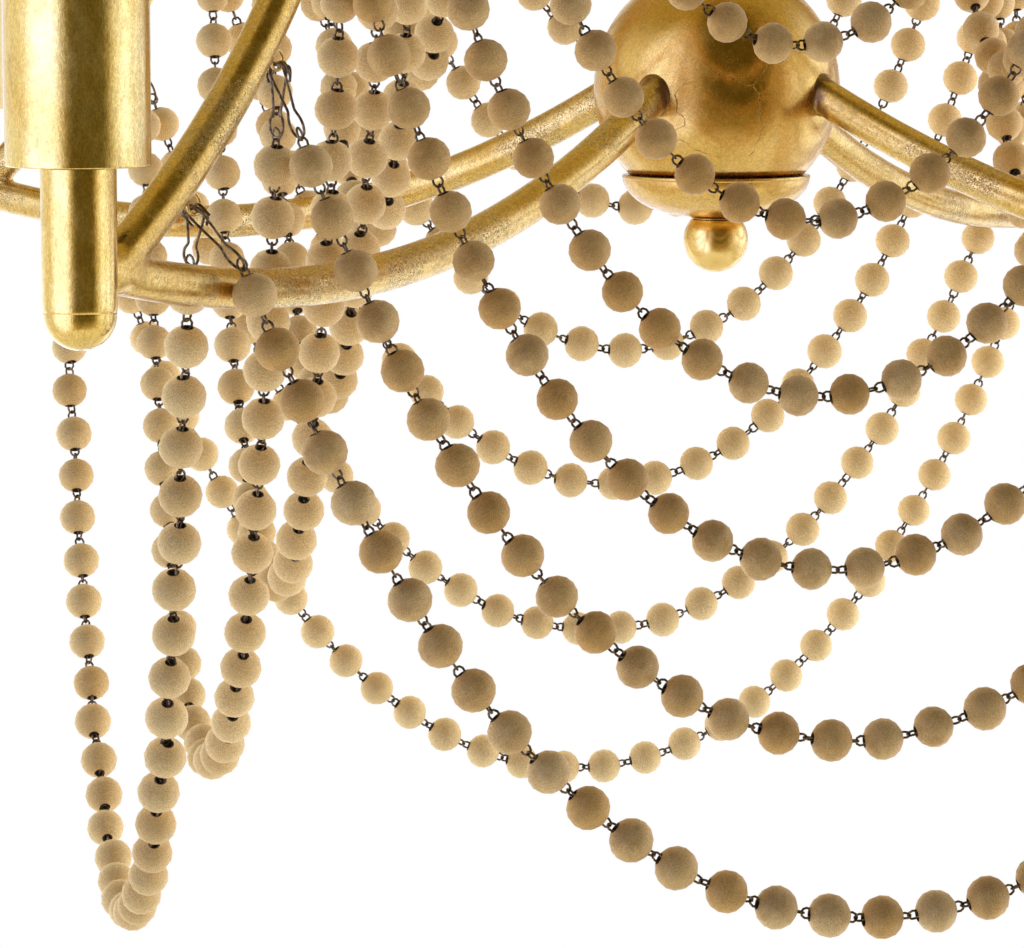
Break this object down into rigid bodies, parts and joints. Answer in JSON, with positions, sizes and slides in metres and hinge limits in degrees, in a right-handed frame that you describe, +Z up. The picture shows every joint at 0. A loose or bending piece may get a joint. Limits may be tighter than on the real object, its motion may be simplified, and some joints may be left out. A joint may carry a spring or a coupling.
{
  "type": "chandelier",
  "caption": "Gilt beaded chandelier: curved arms with candle tubes round a turned hub, draped on every side with rows of pale wooden bead swags.",
  "frame": {"origin": "middle of the ceiling strap's upper face, where the lamp meets the ceiling", "axes": "+Z is up; the four arms lie at 45 degrees between X and Y, and the swag sides face -Y, +X, +Y and -X"},
  "size_m": [0.5514, 0.5514, 0.9096],
  "materials": {
    "gold_leaf": "worn gold leaf over iron, satin, with brown rubbed patches",
    "wood_beads": "bare turned pale wood, matt, on aged bronze wire",
    "bulb_glass": "clear glass",
    "holder_shell": "dark matt moulding",
    "strap_steel": "zinc plated"
  },
  "bodies": {
    "ceiling": {"ceiling_strap": "strap_steel", "canopy": "gold_leaf", "canopy_loop": "gold_leaf"},
    "chain_1": {"chain_link_1": "gold_leaf"},
    "chain_2": {"chain_link_2": "gold_leaf"},
    "chain_3": {"chain_link_3": "gold_leaf"},
    "lamp_frame": {"hub_ball": "gold_leaf", "bottom_cap": "gold_leaf", "finial": "gold_leaf", "centre_stem": "gold_leaf", "top_hub": "gold_leaf", "hanging_loop": "gold_leaf", "lower_arm_front_right": "gold_leaf", "upper_arm_front_right": "gold_leaf", "bullet_front_right": "gold_leaf", "candle_tube_front_right": "gold_leaf", "lamp_holder_front_right": "holder_shell", "lower_arm_back_right": "gold_leaf", "upper_arm_back_right": "gold_leaf", "bullet_back_right": "gold_leaf", "candle_tube_back_right": "gold_leaf", "lamp_holder_back_right": "holder_shell", "lower_arm_back_left": "gold_leaf", "upper_arm_back_left": "gold_leaf", "bullet_back_left": "gold_leaf", "candle_tube_back_left": "gold_leaf", "lamp_holder_back_left": "holder_shell", "lower_arm_front_left": "gold_leaf", "upper_arm_front_left": "gold_leaf", "bullet_front_left": "gold_leaf", "candle_tube_front_left": "gold_leaf", "lamp_holder_front_left": "holder_shell"},
    "swag_front_1_body": {"swag_front_1": "wood_beads"},
    "swag_front_2_body": {"swag_front_2": "wood_beads"},
    "swag_front_3_body": {"swag_front_3": "wood_beads"},
    "swag_front_4_body": {"swag_front_4": "wood_beads"},
    "swag_front_5_body": {"swag_front_5": "wood_beads"},
    "swag_front_6_body": {"swag_front_6": "wood_beads"},
    "swag_right_1_body": {"swag_right_1": "wood_beads"},
    "swag_right_2_body": {"swag_right_2": "wood_beads"},
    "swag_right_3_body": {"swag_right_3": "wood_beads"},
    "swag_right_4_body": {"swag_right_4": "wood_beads"},
    "swag_right_5_body": {"swag_right_5": "wood_beads"},
    "swag_right_6_body": {"swag_right_6": "wood_beads"},
    "swag_back_1_body": {"swag_back_1": "wood_beads"},
    "swag_back_2_body": {"swag_back_2": "wood_beads"},
    "swag_back_3_body": {"swag_back_3": "wood_beads"},
    "swag_back_4_body": {"swag_back_4": "wood_beads"},
    "swag_back_5_body": {"swag_back_5": "wood_beads"},
    "swag_back_6_body": {"swag_back_6": "wood_beads"},
    "swag_left_1_body": {"swag_left_1": "wood_beads"},
    "swag_left_2_body": {"swag_left_2": "wood_beads"},
    "swag_left_3_body": {"swag_left_3": "wood_beads"},
    "swag_left_4_body": {"swag_left_4": "wood_beads"},
    "swag_left_5_body": {"swag_left_5": "wood_beads"},
    "swag_left_6_body": {"swag_left_6": "wood_beads"},
    "bulb_front_right_body": {"bulb_front_right": "bulb_glass"},
    "bulb_back_right_body": {"bulb_back_right": "bulb_glass"},
    "bulb_back_left_body": {"bulb_back_left": "bulb_glass"},
    "bulb_front_left_body": {"bulb_front_left": "bulb_glass"}
  },
  "joints": [
    {"name": "chain_1_sway", "type": "hinge", "parent": "ceiling", "child": "chain_1", "pos_m": [0, 0, -0.0609], "axis": [1, 0, 0], "range_deg": [-20, 20]},
    {"name": "chain_2_sway", "type": "hinge", "parent": "chain_1", "child": "chain_2", "pos_m": [0, 0, -0.0858], "axis": [0, 1, 0], "range_deg": [-20, 20]},
    {"name": "chain_3_twist", "type": "hinge", "parent": "chain_2", "child": "chain_3", "pos_m": [0, 0, -0.1113], "axis": [0, 0, 1], "range_deg": [-30, 30]},
    {"name": "lamp_sway", "type": "hinge", "parent": "chain_3", "child": "lamp_frame", "pos_m": [0, 0, -0.1368], "axis": [0, 1, 0], "range_deg": [-15, 15]},
    {"name": "swag_front_1_swing", "type": "hinge", "parent": "lamp_frame", "child": "swag_front_1_body", "pos_m": [0, -0.21714, -0.64383], "axis": [1, 0, 0], "range_deg": [-15, 0]},
    {"name": "swag_front_2_swing", "type": "hinge", "parent": "lamp_frame", "child": "swag_front_2_body", "pos_m": [0, -0.18737, -0.60159], "axis": [1, 0, 0], "range_deg": [-8, 1]},
    {"name": "swag_front_3_swing", "type": "hinge", "parent": "lamp_frame", "child": "swag_front_3_body", "pos_m": [0, -0.16295, -0.5516], "axis": [1, 0, 0], "range_deg": [-8, 1]},
    {"name": "swag_front_4_swing", "type": "hinge", "parent": "lamp_frame", "child": "swag_front_4_body", "pos_m": [0, -0.14521, -0.50393], "axis": [1, 0, 0], "range_deg": [-8, 1]},
    {"name": "swag_front_5_swing", "type": "hinge", "parent": "lamp_frame", "child": "swag_front_5_body", "pos_m": [0, -0.12817, -0.45423], "axis": [1, 0, 0], "range_deg": [-8, 1]},
    {"name": "swag_front_6_swing", "type": "hinge", "parent": "lamp_frame", "child": "swag_front_6_body", "pos_m": [0, -0.11001, -0.40486], "axis": [1, 0, 0], "range_deg": [-8, 0.5]},
    {"name": "swag_right_1_swing", "type": "hinge", "parent": "lamp_frame", "child": "swag_right_1_body", "pos_m": [0.21552, 0, -0.64383], "axis": [0, 1, 0], "range_deg": [-15, 0]},
    {"name": "swag_right_2_swing", "type": "hinge", "parent": "lamp_frame", "child": "swag_right_2_body", "pos_m": [0.18574, 0, -0.60159], "axis": [0, 1, 0], "range_deg": [-8, 1]},
    {"name": "swag_right_3_swing", "type": "hinge", "parent": "lamp_frame", "child": "swag_right_3_body", "pos_m": [0.16132, 0, -0.5516], "axis": [0, 1, 0], "range_deg": [-8, 1]},
    {"name": "swag_right_4_swing", "type": "hinge", "parent": "lamp_frame", "child": "swag_right_4_body", "pos_m": [0.14358, 0, -0.50393], "axis": [0, 1, 0], "range_deg": [-8, 1]},
    {"name": "swag_right_5_swing", "type": "hinge", "parent": "lamp_frame", "child": "swag_right_5_body", "pos_m": [0.12655, 0, -0.45423], "axis": [0, 1, 0], "range_deg": [-8, 1]},
    {"name": "swag_right_6_swing", "type": "hinge", "parent": "lamp_frame", "child": "swag_right_6_body", "pos_m": [0.10838, 0, -0.40486], "axis": [0, 1, 0], "range_deg": [-8, 0.5]},
    {"name": "swag_back_1_swing", "type": "hinge", "parent": "lamp_frame", "child": "swag_back_1_body", "pos_m": [0, 0.21714, -0.64383], "axis": [-1, 0, 0], "range_deg": [-15, 0]},
    {"name": "swag_back_2_swing", "type": "hinge", "parent": "lamp_frame", "child": "swag_back_2_body", "pos_m": [0, 0.18737, -0.60159], "axis": [-1, 0, 0], "range_deg": [-8, 1]},
    {"name": "swag_back_3_swing", "type": "hinge", "parent": "lamp_frame", "child": "swag_back_3_body", "pos_m": [0, 0.16295, -0.5516], "axis": [-1, 0, 0], "range_deg": [-8, 1]},
    {"name": "swag_back_4_swing", "type": "hinge", "parent": "lamp_frame", "child": "swag_back_4_body", "pos_m": [0, 0.14521, -0.50393], "axis": [-1, 0, 0], "range_deg": [-8, 1]},
    {"name": "swag_back_5_swing", "type": "hinge", "parent": "lamp_frame", "child": "swag_back_5_body", "pos_m": [0, 0.12817, -0.45423], "axis": [-1, 0, 0], "range_deg": [-8, 1]},
    {"name": "swag_back_6_swing", "type": "hinge", "parent": "lamp_frame", "child": "swag_back_6_body", "pos_m": [0, 0.11001, -0.40486], "axis": [-1, 0, 0], "range_deg": [-8, 0.5]},
    {"name": "swag_left_1_swing", "type": "hinge", "parent": "lamp_frame", "child": "swag_left_1_body", "pos_m": [-0.21552, 0, -0.64383], "axis": [0, -1, 0], "range_deg": [-15, 0]},
    {"name": "swag_left_2_swing", "type": "hinge", "parent": "lamp_frame", "child": "swag_left_2_body", "pos_m": [-0.18574, 0, -0.60159], "axis": [0, -1, 0], "range_deg": [-8, 1]},
    {"name": "swag_left_3_swing", "type": "hinge", "parent": "lamp_frame", "child": "swag_left_3_body", "pos_m": [-0.16132, 0, -0.5516], "axis": [0, -1, 0], "range_deg": [-8, 1]},
    {"name": "swag_left_4_swing", "type": "hinge", "parent": "lamp_frame", "child": "swag_left_4_body", "pos_m": [-0.14358, 0, -0.50393], "axis": [0, -1, 0], "range_deg": [-8, 1]},
    {"name": "swag_left_5_swing", "type": "hinge", "parent": "lamp_frame", "child": "swag_left_5_body", "pos_m": [-0.12655, 0, -0.45423], "axis": [0, -1, 0], "range_deg": [-8, 1]},
    {"name": "swag_left_6_swing", "type": "hinge", "parent": "lamp_frame", "child": "swag_left_6_body", "pos_m": [-0.10838, 0, -0.40486], "axis": [0, -1, 0], "range_deg": [-8, 0.5]},
    {"name": "bulb_front_right_out", "type": "slide", "parent": "lamp_frame", "child": "bulb_front_right_body", "axis": [0, 0, 1], "range_m": [0, 0.03]},
    {"name": "bulb_back_right_out", "type": "slide", "parent": "lamp_frame", "child": "bulb_back_right_body", "axis": [0, 0, 1], "range_m": [0, 0.03]},
    {"name": "bulb_back_left_out", "type": "slide", "parent": "lamp_frame", "child": "bulb_back_left_body", "axis": [0, 0, 1], "range_m": [0, 0.03]},
    {"name": "bulb_front_left_out", "type": "slide", "parent": "lamp_frame", "child": "bulb_front_left_body", "axis": [0, 0, 1], "range_m": [0, 0.03]}
  ]
}
